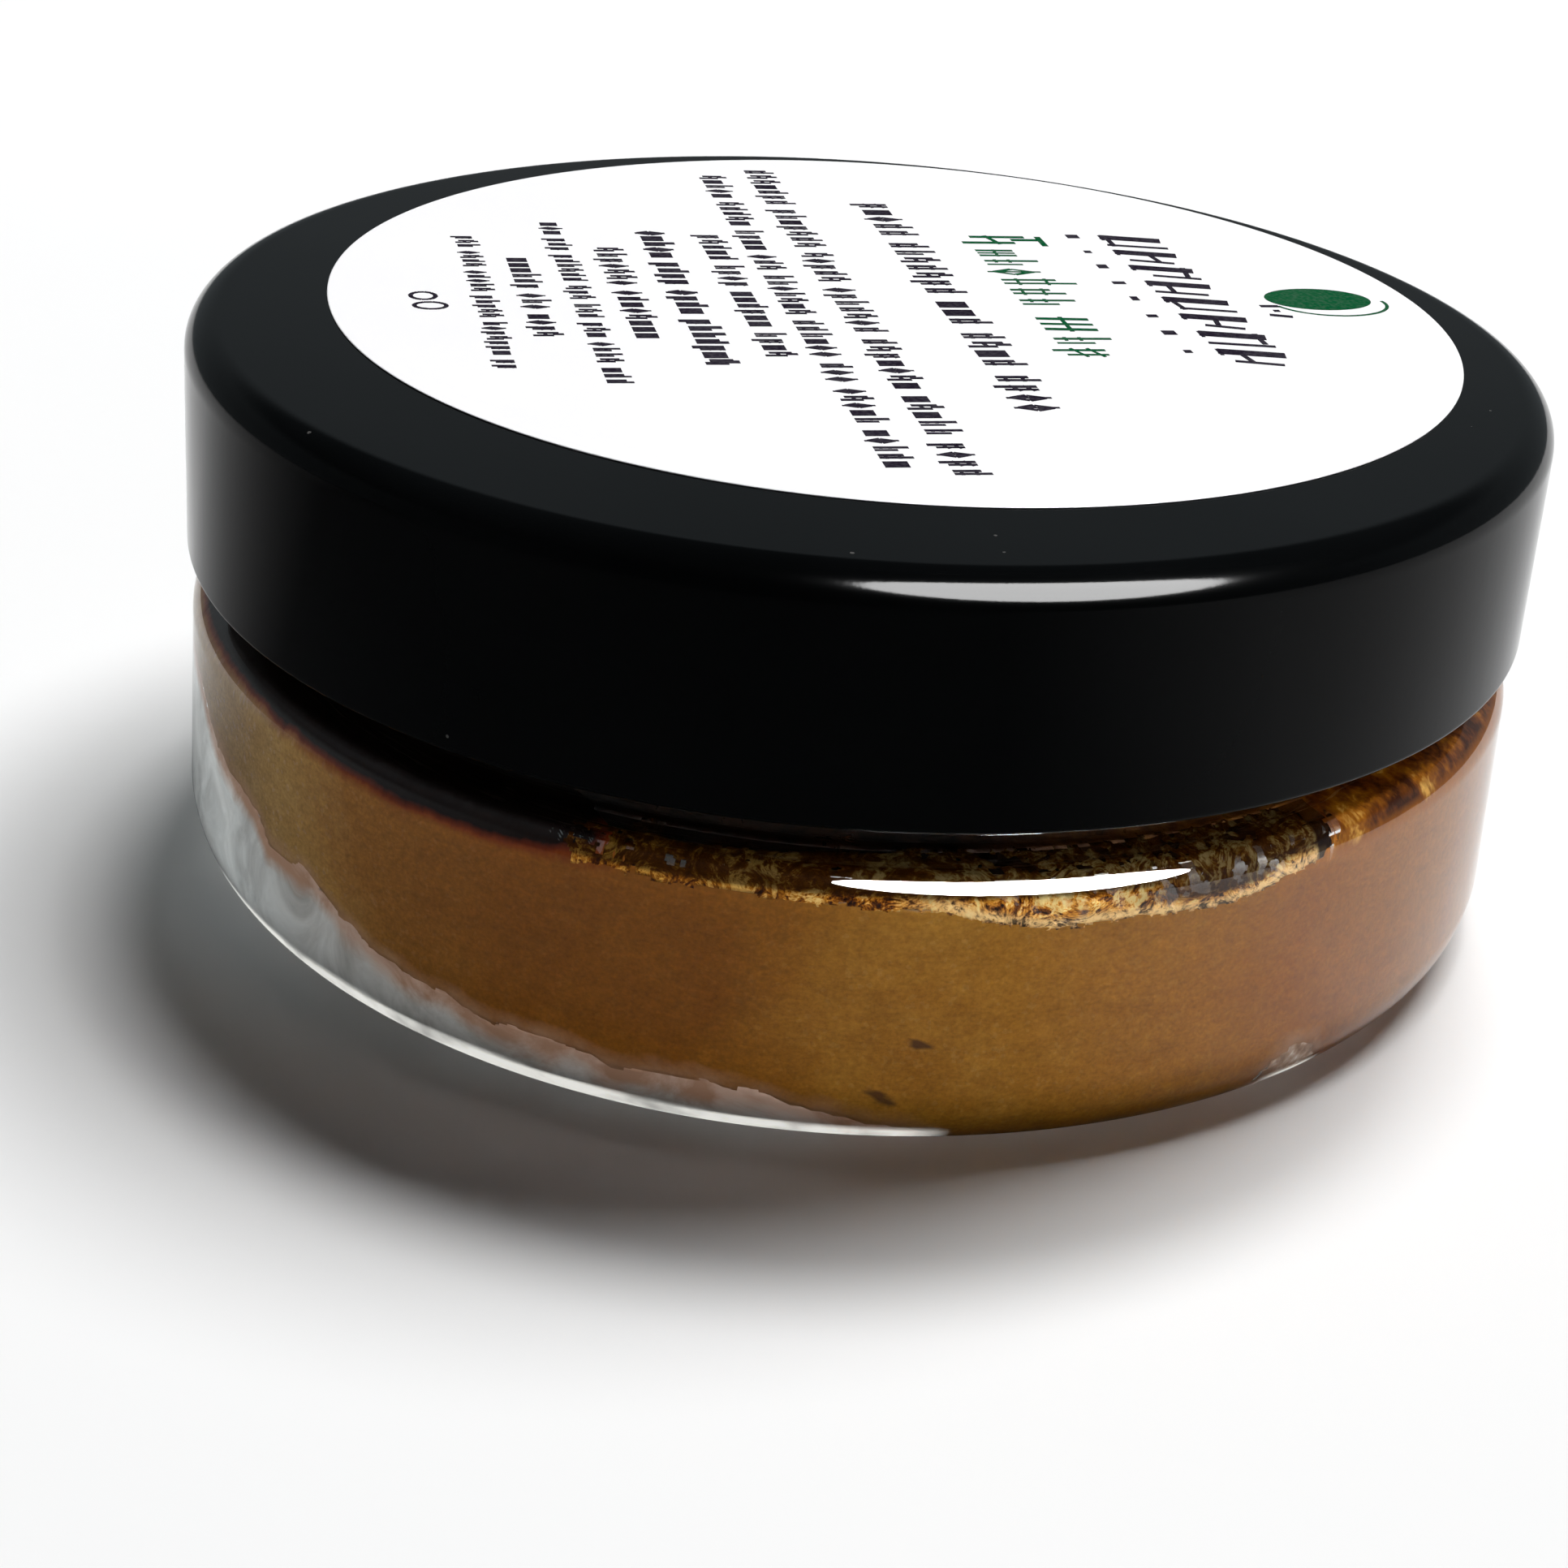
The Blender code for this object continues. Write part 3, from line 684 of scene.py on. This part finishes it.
def build_wax():
    seg = 440
    phi = np.linspace(0, 2 * math.pi, seg, endpoint=False)
    az = azimuth(phi)
    x1, y1 = 28.4 * np.cos(phi), 28.4 * np.sin(phi)
    upper = wax_upper(az) + 0.05 * edge_noise(x1, y1, 7.0) + 0.035 * edge_fine(x1, y1, 9.0)
    pocket = in_pocket(az)
    s_top = s_at(upper) * pocket + (S_NECK + 0.10 * edge_noise(x1, y1, 3.0)) * (1 - pocket)
    off_top = wax_offset(az, s_top) + 0.10
    r_top, z_top = inside(s_top, off_top)
    rows_r, rows_z = [], []
    for u in np.concatenate([np.linspace(0.015, 0.86, 62), np.linspace(0.875, 1.0, 14)]):
        r = u * r_top
        x, y = r * np.cos(phi), r * np.sin(phi)
        edge = smoothstep(u, 0.88, 1.0)
        z = (1 - edge) * wax_top_z(x, y) + edge * (z_top + 0.03)
        limit = np.interp(r, [26.4, 26.8, 27.9, 28.3], [12.2, 11.45, 11.45, 11.0])
        rows_r.append(r)
        rows_z.append(np.minimum(z, np.where(r > 26.4, limit, 99.0)))
    s_mid = float(s_at(9.2))
    for t in np.linspace(0, 1, 42):
        s = s_top * (1 - t) + s_mid * t
        off = wax_offset(az, s) + 0.12 * math.exp(-t * 60.0)
        r, z = inside(s, off)
        rows_r.append(r)
        rows_z.append(z)
    for s in np.concatenate([np.linspace(s_mid, S_HEEL_LOW, 62)[1:], np.linspace(S_HEEL_LOW, 19.0, 12)[1:], [15.0, 10.0, 6.0, 3.0, 1.0]]):
        r, z = inside(np.full(seg, s), wax_offset(az, np.full(seg, s)))
        rows_r.append(r)
        rows_z.append(z)
    return closed_from_rows("wax_mass", np.array(rows_r), np.array(rows_z), phi, float(wax_top_z(0.0, 0.0)), 1.88, WAX)


wax = build_wax()
_az, _r, _z = vertex_places(wax)
give(wax, "gap", np.where(_r > 22.0, gap_amount(_az, _z), -5.0))
give(wax, "pit_shade_amount", np.where(_r > 27.0, painted_pit_shade(_az, _z), 0.0))
# the fringe where the wax thins out over the shoulder and the band over it, with painted light and shade: dark red and
# near black on the left, where the lid shades them, lit amber with flakes on the right
_up = np.clip(_z - 10.55, 0, None) + np.clip(28.42 - _r, 0, None) - 0.30 * smoothstep(np.abs(_az + 66.0), 30.0, 6.0) - 0.1 * smoothstep(_az, 40.0, 60.0)
give(wax, "rim", np.clip(_up, 0, 1) * (_r > 25.0) * (_z > 10.0) * (1.0 - in_pocket(_az)))
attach(wax, "jar")
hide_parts("wax_fill")


def without_islands(cell, full, least=40):
    """The kept cells, less the specks that hang together in groups smaller than this."""
    label = np.where(cell, np.arange(cell.size).reshape(cell.shape), -1)
    while True:
        grown = label.copy()
        for axis, shift in ((0, 1), (0, -1), (1, 1), (1, -1)):
            near = np.roll(label, shift, axis)
            end = 0 if shift == 1 else -1
            if axis == 0:
                near[end] = -1
            elif not full:
                near[:, end] = -1
            grown = np.where(cell & (near > grown), near, grown)
        if (grown == label).all():
            break
        label = grown
    _, index, counts = np.unique(label, return_inverse=True, return_counts=True)
    return cell & (counts[index.reshape(label.shape)] >= least)


def film(name, az0, az1, s0, s1, keep, offset, thick, material, step=0.13):
    """A thin closed sheet that lines part of the jar's inside. keep(az, s) > 0 says where it is, offset(az, s) how far off the wall."""
    cols = int((az1 - az0) / 360.0 * 2 * math.pi * 28.0 / step)
    rows = int((s1 - s0) / step)
    full = az1 - az0 >= 359.9
    az = np.linspace(az0, az1, cols, endpoint=not full)
    s = np.linspace(s0, s1, rows)
    A, S = np.meshgrid(az, s)
    k = keep(A, S)
    front = inside(S, offset(A, S))
    back = inside(S, offset(A, S) + thick)
    def points(rz):
        r, z = rz
        return np.stack([r * np.sin(np.radians(A)), -r * np.cos(np.radians(A)), z], -1)
    F, B = points(front).reshape(-1, 3), points(back).reshape(-1, 3)
    idx = np.arange(rows * cols).reshape(rows, cols)
    right = np.roll(idx, -1, 1) if full else idx[:, 1:]
    left = idx if full else idx[:, :-1]
    kk = k > 0
    kr = np.roll(kk, -1, 1) if full else kk[:, 1:]
    kl = kk if full else kk[:, :-1]
    cell = without_islands(kl[:-1] & kl[1:] & kr[:-1] & kr[1:], full)
    n = rows * cols
    a, b, c, d = left[:-1][cell], left[1:][cell], right[1:][cell], right[:-1][cell]
    # s runs up the wall, so a-d-c-b faces outwards
    front_faces = np.stack([a, d, c, b], -1)
    back_faces = np.stack([a, b, c, d], -1) + n
    edges = {}
    for f in front_faces.tolist():
        for i in range(4):
            e = (f[i], f[(i + 1) % 4])
            edges[e] = edges.get(e, 0) + 1
    sides = [(q, p, p + n, q + n) for (p, q) in edges if (q, p) not in edges]
    used = np.unique(np.concatenate([front_faces.ravel(), back_faces.ravel()]))
    remap = -np.ones(2 * n, int)
    remap[used] = np.arange(len(used))
    verts = np.concatenate([F, B])[used] * MM
    faces = [tuple(remap[list(f)]) for f in front_faces.tolist() + back_faces.tolist() + sides]
    return mesh_object(name, verts, [tuple(int(i) for i in f) for f in faces], material)


crinkle = Waves(21, 1.5, 3)
crinkle_fine = Waves(22, 0.5, 2)


def xyz(A, S):
    r, z = inside(S, 0.0)
    return r * np.sin(np.radians(A)), -r * np.cos(np.radians(A)), z


# Wax smeared inside the neck and under the shoulder, all the way round
def neck_keep(A, S):
    x, y, z = xyz(A, S)
    return 1.6 + 0.5 * rough_top(x, y, z) + 0.35 * crinkle(x, y, z) - smoothstep(z, 14.5, 18.5) * 2.6


neck_film = film("wax_film_neck", -180, 180, S_SHOULDER_END - 0.1, float(INNER_S[-1]) - 1.0, neck_keep, lambda A, S: -0.012 + 0 * S, 0.07, NECK_SMEAR_PAINTED_SHADE, step=0.2)
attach(neck_film, "jar")


# The pocket under the front of the shoulder, lined with crinkled wax, and the flaked band that runs out of it to the left
def pocket_low(A):
    return s_at(wax_upper(A)) - 0.22


def pocket_keep(A, S):
    x, y, z = xyz(A, S)
    right_end = (41.4 - A) * 0.5 - 0.9 * ((S - S_WALL_TOP - 0.2) / 1.3) ** 2
    high = S_SHOULDER_END + 0.1 - 0.9 * smoothstep(A, 8.0, -12.0)
    return np.minimum(np.minimum(S - pocket_low(A), high - S) + 0.06 * crinkle(x, y, z), np.minimum(right_end, (A + 22.0) * 0.12 + 0.55 * crinkle(x, y, z) + 0.3 * crinkle_fine(x, y, z)))


def pocket_off(A, S):
    where = xyz(A, S)
    wide = smoothstep(A, 4.0, 14.0)
    folds = 0.07 * (crinkle(*where) - 0.1).clip(0, 4) + 0.045 * (crinkle_fine(*where) - 0.1).clip(0, 4)
    bead = np.exp(-(((S - pocket_low(A) - 0.22) / 0.16) ** 2))
    return -0.036 + 0.6 * folds * (0.35 + 0.65 * wide) * (1 - 0.7 * bead)


pocket = film("wax_film_pocket", -26, 43, float(s_at(9.4)), S_SHOULDER_END + 0.2, pocket_keep, pocket_off, 0.05, GOLD_FILM, step=0.10)
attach(pocket, "jar")
_az, _r, _z = vertex_places(pocket)
_low = INNER[_wall][0, 1] * 0 + wax_upper(_az)
_wide = smoothstep(_az, 3.0, 11.0)
give(pocket, "bead", np.exp(-(((_z - _low - 0.05) / 0.22) ** 2)) * _wide)
give(pocket, "outline", smoothstep((40.6 - _az) * 0.5, 0.75, 0.25))
# the part of the pocket that takes the painted shade
give(pocket, "upper", np.maximum(smoothstep(_z, 10.92, 11.12), smoothstep(_z - _low, 0.22, 0.56) * smoothstep(_az, 19.0, 28.0)))


# The haze in the gap low on the left, paler on the far left by painted light
def haze_keep(A, S):
    r, z = inside(S, 0.0)
    return np.minimum(gap_amount(A, z) + 0.25, S - S_HEEL_LOW + 1.2)


haze = film("gap_haze", -175, 175, S_HEEL_LOW - 1.2, float(s_at(10.6)), haze_keep, lambda A, S: -0.012 + 0 * S, 0.06, HAZE, step=0.2)
_az, _r, _z = vertex_places(haze)
give(haze, "gap", gap_amount(_az, _z))
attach(haze, "jar")

# Painted light: along the heel, where no wax wets it, the clear wall gives off light seen only by camera rays, standing
# in for light piped down the wall
_az, _r, _z = vertex_places(jar)
_open = np.clip(gap_amount(_az, np.full_like(_az, 1.0)) * 1.6 + 0.2, 0, 1) * smoothstep(np.abs(_az), 82.0, 66.0)
give(jar, "painted_heel_light", _open * (_r > 26.9) * smoothstep(_z - np.interp(_az, [-60, -40, -10, 5], [2.1, 2.1, 1.66, 1.5]), 0.0, -0.2) * smoothstep(_z, 0.24, 0.36))

# ---------------------------------------------------------------- lid

lid_profile = [(0.0, 24.1)]
lid_profile += arc(29.4 - 1.45, 24.1 - 1.45, 1.45, 90, 0, 18)
lid_profile += arc(29.5 - 0.22, 14.2 + 0.22, 0.22, 0, -90, 5)
lid_profile += arc(28.1 + 0.22, 14.2 + 0.22, 0.22, -90, -180, 5)
lid_profile += [(28.1, float(z)) for z in np.arange(14.6, 22.0, 0.11)]
lid_profile += arc(27.8, 22.3, 0.3, 0, 90, 4)
lid_profile += [(0.0, 22.6)]
LID_PHASE = 11.3 + 360.0 * (15.6 + 1.7 - 14.7) / PITCH


def lid_deform(r, z, a):
    inner = (np.abs(r - 28.1) < 0.02) & (z > 14.5) & (z < 22.1)
    r = np.where(inner, r - helix_bump(z, a, 15.6, LID_PHASE, 1.15), r)
    return r, z


lid = revolved("lid_black", dressed(lid_profile), 256, BLACK, lid_deform)
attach(lid, "lid")
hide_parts("screw_lid")

# ---------------------------------------------------------------- liner, labels

liner_profile = [(0.0, 22.5)] + arc(27.5 - 0.2, 22.5 - 0.2, 0.2, 90, 0, 4) + arc(27.5 - 0.2, 21.35 + 0.2, 0.2, 0, -90, 4) + [(26.9, 21.35), (0.0, 21.35)]


def liner_deform(r, z, a):
    press = np.exp(-(((r - 25.65) / 0.75) ** 4)) * 0.12
    return r, np.where(z < 21.6, z + press, z)


liner = revolved("liner_foam", dressed(liner_profile, step=0.3), 192, FOAM, liner_deform)
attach(liner, "liner")
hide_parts("lid_liner")

lid_label_profile = [(0.0, 24.165), (24.86, 24.165), (24.9, 24.15), (24.9, 24.115), (24.87, 24.105), (0.0, 24.105)]
label = revolved("label_disc", dressed(lid_label_profile, step=2.0, hold=0.02), 256, LABEL, centre=(1.0, 2.6))
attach(label, "lid")
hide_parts("lid_label")


def prisms(name, outlines, z0, z1, material, centre=(0.0, 0.0), turn=0.0):
    """Flat marks as thin closed prisms. Each outline is convex (u, v) points in mm, anticlockwise, turned by `turn` degrees."""
    c, k = math.cos(math.radians(turn)), math.sin(math.radians(turn))
    verts, faces = [], []
    for place, outline in enumerate(outlines):
        n, m = len(verts), len(outline)
        lift = 0.0011 * (place % 6)
        for z in (z0 - (lift if z1 < 5 else 0.0), z1 + (0.0 if z1 < 5 else lift)):
            verts += [((centre[0] + c * u - k * v) * MM, (centre[1] + k * u + c * v) * MM, z * MM) for u, v in outline]
        faces += [tuple(n + m - 1 - i for i in range(m)), tuple(n + m + i for i in range(m))]
        faces += [(n + i, n + (i + 1) % m, n + m + (i + 1) % m, n + m + i) for i in range(m)]
    return mesh_object(name, verts, faces, material, smooth=False)


def stroke(u0, v0, u1, v1, w):
    """A straight stroke of width w from one point to another, as one anticlockwise quad."""
    d = math.hypot(u1 - u0, v1 - v0)
    a, b = -(v1 - v0) / d * w / 2, (u1 - u0) / d * w / 2
    return [(u0 - a, v0 - b), (u1 - a, v1 - b), (u1 + a, v1 + b), (u0 + a, v0 + b)]


def curve(u, v, a, b, first, last, w, steps=10):
    """An arc of an ellipse, as a chain of strokes."""
    angles = [math.radians(first + (last - first) * i / steps) for i in range(steps + 1)]
    points = [(u + a * math.cos(x), v + b * math.sin(x)) for x in angles]
    return [stroke(*points[i], *points[i + 1], w) for i in range(steps)]


def mark(draw, u, v, w, h, line, lean):
    """One meaningless upright mark of bars and rungs, in a cell w wide and h high."""
    def at(x, y):
        return u + x * w + lean * y * h, v + y * h
    def go(x0, y0, x1, y1, k=1.0):
        return stroke(*at(x0, y0), *at(x1, y1), line * k)
    kind = draw.randrange(6)
    if kind == 0:
        return [go(0.16, 0, 0.16, 0.72), go(0.56, 0.0, 0.56, 0.96, 0.9), go(0.0, 0.20, 0.74, 0.20, 0.6), go(0.0, 0.58, 0.74, 0.58, 0.6)]
    if kind == 1:
        return [go(0.16, -0.20, 0.16, 0.74), go(0.54, 0.0, 0.54, 0.74, 0.8), go(0.0, 0.14, 0.72, 0.34, 0.6), go(0.0, 0.44, 0.72, 0.64, 0.6)]
    if kind == 2:
        return [go(0.20, 0.0, 0.20, 1.0), go(0.04, 0.20, 0.40, 0.20, 0.6), go(0.04, 0.46, 0.40, 0.46, 0.6), go(0.62, 0.0, 0.62, 0.66, 0.8)]
    if kind == 3:
        return [go(0.08, 0.0, 0.08, 0.70), go(0.38, 0.0, 0.38, 0.70, 0.8), go(0.68, 0.0, 0.68, 0.70), go(-0.04, 0.34, 0.80, 0.34, 0.6)]
    if kind == 4:
        return [go(0.10, 0.10, 0.10, 0.80), go(0.62, -0.05, 0.62, 0.62), go(-0.02, 0.30, 0.74, 0.42, 0.7), go(0.36, 0.60, 0.36, 0.96)]
    return [go(0.06, 0.35, 0.36, 0.72, 0.7), go(0.36, 0.72, 0.68, 0.35), go(0.68, 0.35, 0.36, 0.0, 0.7), go(0.36, 0.0, 0.06, 0.35), go(0.36, -0.12, 0.36, 0.86, 0.6)]


def print_line(draw, u0, u1, v, h, line, lean=0.0, words=(3, 9), pitch=0.62, gap=0.45):
    """A line of print between u0 and u1, as runs of meaningless marks of height h."""
    quads, u = [], u0
    left = draw.randrange(*words)
    while u < u1 - 0.3 * h:
        quads += mark(draw, u, v, h * pitch * 0.80, h, line, lean)
        u += h * pitch
        left -= 1
        if left <= 0:
            u += h * gap
            left = draw.randrange(*words)
    return quads


def oval(u, v, a, b, steps=40):
    return [(u + a * math.cos(2 * math.pi * i / steps), v + b * math.sin(2 * math.pi * i / steps)) for i in range(steps)]


draw = random.Random(7)
dark_print = []
# first u, last u, base v, height and stroke of each line of print
for u0, u1, v, h, line in (
    (-16.5, 15.0, 1.9, 1.95, 0.30),
    (-22.6, 22.4, -2.7, 1.55, 0.25),
    (-21.4, 21.2, -5.2, 1.40, 0.24),
    (-10.6, 8.0, -7.2, 1.40, 0.24),
    (-11.1, 9.2, -9.9, 1.45, 0.36),
    (-8.3, 5.5, -12.35, 1.40, 0.24),
    (-12.4, 11.4, -14.4, 1.15, 0.21),
    (-6.5, 5.1, -16.6, 1.30, 0.23),
    (-10.0, 9.1, -18.6, 1.05, 0.20),
):
    dark_print += print_line(draw, u0, u1, v, h, line)
# the heavy slanted heading, and the widely spaced small marks under it
for i in range(8):
    u = -11.0 + i * 2.52
    low, tall = (u, 12.8), (u + 0.62, 15.7)
    dark_print.append(stroke(*low, *tall, 0.74))
    dark_print.append(stroke(u + 1.35, 12.8 + (i % 3) * 0.35, u + 1.90, 15.7 - (i % 2) * 0.5, 0.30))
    rung = (13.1, 14.3, 15.35, 13.7)[i % 4]
    dark_print.append(stroke(u + 0.10, rung, u + 1.60, rung + (0.0, 0.25, -0.2)[i % 3], 0.26))
    dark_print.append(stroke(u - 0.30, 12.86, u + 0.55, 12.86, 0.17))
    dark_print.append(stroke(u - 0.35 + (i % 2) * 0.2, 11.45, u + 0.25, 11.45, (0.62, 0.36, 0.50)[i % 3]))
dark_print += [curve_part for curve_part in curve(-0.75, -20.8, 0.55, 0.55, 20, 380, 0.20, 12)]
dark_print += [curve_part for curve_part in curve(0.65, -20.6, 0.50, 0.70, 20, 380, 0.20, 12)]
dark_print += [stroke(0.1, 17.1, 0.1, 18.0, 0.34), stroke(0.8, 17.5, 0.8, 17.8, 0.30), stroke(1.4, 17.1, 1.7, 18.1, 0.34)]
green_print = mark(draw, -11.0, 5.8, 1.9, 3.9, 0.36, 0.0) + [stroke(-10.9, 9.6, -9.3, 9.6, 0.3)]
for i in range(6):
    green_print += mark(draw, -8.6 + i * 1.55, 5.9, 1.35, 2.6 if i != 3 else 3.6, 0.26, 0.0)
green_print += mark(draw, 1.9, 5.9, 2.5, 3.4, 0.34, 0.05) + mark(draw, 4.7, 5.9, 1.4, 2.6, 0.26, 0.0) + mark(draw, 6.3, 5.9, 1.6, 2.5, 0.26, 0.0)
green_print += [oval(-1.0, 20.3, 1.65, 2.55)] + curve(-0.45, 20.65, 1.95, 2.75, -75, 100, 0.17, 26)
for name, quads, material in (("label_print_dark", dark_print, INK), ("label_print_green", green_print, INK_GREEN)):
    made = prisms(name, quads, 24.155, 24.174, material, centre=(1.0, 2.6), turn=-77.0)
    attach(made, "lid")

base_profile = [(0.0, 0.86), (17.95, 0.86), (18.0, 0.83), (18.0, 0.76), (17.95, 0.74), (0.0, 0.74)]
base = revolved("base_disc", dressed(base_profile, step=2.0, hold=0.02), 192, BASE_PAPER)
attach(base, "jar")
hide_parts("base_label")
under = [stroke(-9.0, 6.2, 9.0, 6.2, 2.2)]
for u0, u1, v, h in ((-12.5, 12.5, 1.6, 1.5), (-13.5, 13.3, -1.2, 1.3), (-12.8, 12.6, -3.8, 1.3), (-9.0, 8.8, -6.4, 1.3), (-6.0, 5.8, -9.2, 1.2)):
    under += print_line(draw, u0, u1, v, h, 0.24)
under += curve(0.0, 11.3, 1.7, 1.7, 0, 360, 0.3, 32)
# seen from below, so it is mirrored across u, and each quad is turned round again
under = [[(-u, v) for u, v in reversed(quad)] for quad in under]
made = prisms("base_print", under, 0.726, 0.752, INK)
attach(made, "jar")

# ---------------------------------------------------------------- stage, camera, light

floor_mesh = bpy.data.meshes.new("floor")
floor_mesh.from_pydata([(-3, -3, 0), (3, -3, 0), (3, 3, 0), (-3, 3, 0)], [], [(0, 1, 2, 3)])
floor = bpy.data.objects.new("floor", floor_mesh)
floor_mesh.materials.append(floor_look())
bpy.context.scene.collection.objects.link(floor)
floor.location.z = -0.00002
floor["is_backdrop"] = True

camera_data = bpy.data.cameras.new("camera")
camera = bpy.data.objects.new("camera", camera_data)
bpy.context.scene.collection.objects.link(camera)
camera_data.sensor_width = 36.0
camera_data.lens = 65.09
camera_data.dof.use_dof = False
camera_data.clip_start, camera_data.clip_end = 0.005, 20.0
right = Vector((0.9973442966576659, 0.03235387174412094, 0.06525014105418268))
up = Vector((-0.07283099562978501, 0.44305242815596363, 0.8935324235754845))
forward = Vector((0.0, 0.8959116992696712, -0.44423217703328327))
camera.matrix_world = Matrix((
    (right.x, up.x, -forward.x, -2.36683 * MM),
    (right.y, up.y, -forward.y, -119.76453 * MM),
    (right.z, up.z, -forward.z, 60.69462 * MM),
    (0, 0, 0, 1),
))
bpy.context.scene.camera = camera


def area_light(name, direction, distance, size, energy, colour=(1, 1, 1), along=None, shape="ELLIPSE", target=(0, 0, 0.012), bounces=1024, **visible):
    """An area light that looks at the target from a direction, its long side along a given vector."""
    data = bpy.data.lights.new(name, "AREA")
    data.shape = shape
    data.size, data.size_y = size
    data.energy = energy
    data.color = colour
    data.cycles.max_bounces = bounces
    made = bpy.data.objects.new(name, data)
    bpy.context.scene.collection.objects.link(made)
    d = Vector(direction).normalized()
    place = Vector(target) + d * distance
    z = d
    x = Vector(along) if along is not None else Vector((0, 0, 1)).cross(z)
    x = (x - z * x.dot(z)).normalized()
    y = z.cross(x)
    made.matrix_world = Matrix(((x.x, y.x, z.x, place.x), (x.y, y.y, z.y, place.y), (x.z, y.z, z.z, place.z), (0, 0, 0, 1)))
    for key, value in visible.items():
        setattr(made, "visible_" + key, value)
    return made


# The window that draws the highlights along the rounded edges
top_of_window = Vector((0.205, 0.178, 0.962))
foot_of_window = Vector((0.477, -0.765, 0.436))
area_light("edge_window", (0.400, -0.520, 0.755), 0.612, (0.56, 0.53), 74.0, along=top_of_window - foot_of_window, bounces=0, diffuse=False, transmission=False)
# The same window as the wax behind the clear wall sees it
area_light("edge_window_inside", (0.36, -0.36, 0.86), 0.6, (0.80, 0.53), 9.5, along=top_of_window - foot_of_window, diffuse=False, glossy=False)
# Two soft lights from behind and from the right, which throw the short dark shadow to the front left
area_light("key", (0.349, 0.337, 0.875), 1.6, (0.72, 0.72), 21.0, glossy=False)
area_light("back_key", (0.083, 0.332, 0.94), 1.6, (0.32, 0.32), 11.5, glossy=False)

world = bpy.data.worlds.new("world")
bpy.context.scene.world = world
world.use_nodes = True
wn, wl = world.node_tree.nodes, world.node_tree.links
background = wn["Background"]
coord = wn.new("ShaderNodeTexCoord")
parts = wn.new("ShaderNodeSeparateXYZ")
wl.new(coord.outputs["Generated"], parts.inputs[0])
height = wn.new("ShaderNodeMapRange")
for socket, value in zip(height.inputs[1:], (0.40, 0.52, 0.205, 0.032)):
    socket.default_value = value
wl.new(parts.outputs["Z"], height.inputs[0])
front = wn.new("ShaderNodeMapRange")
for socket, value in zip(front.inputs[1:], (-0.75, 0.1, 0.12, 1.0)):
    socket.default_value = value
wl.new(parts.outputs["Y"], front.inputs[0])
both = wn.new("ShaderNodeMath")
both.operation = "MULTIPLY"
wl.new(height.outputs[0], both.inputs[0])
wl.new(front.outputs[0], both.inputs[1])
path = wn.new("ShaderNodeLightPath")
strength = both.outputs[0]
inner = wn.new("ShaderNodeMapRange")
for socket, value in zip(inner.inputs[1:], (-0.95, -0.25, 1.9, 0.40)):
    socket.default_value = value
wl.new(parts.outputs["X"], inner.inputs[0])
for flag, value in (("Is Diffuse Ray", 0.02), ("Is Transmission Ray", 0.40), ("Is Camera Ray", 0.92)):
    choose = wn.new("ShaderNodeMix")
    wl.new(path.outputs[flag], choose.inputs[0])
    wl.new(strength, choose.inputs[2])
    if flag == "Is Transmission Ray":
        wl.new(inner.outputs[0], choose.inputs[3])
    else:
        choose.inputs[3].default_value = value
    strength = choose.outputs[0]
wl.new(strength, background.inputs["Strength"])
background.inputs["Color"].default_value = (0.84, 0.95, 1.0, 1)

bpy.context.scene.view_settings.view_transform = "Standard"
bpy.context.scene.view_settings.look = "None"

low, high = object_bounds()
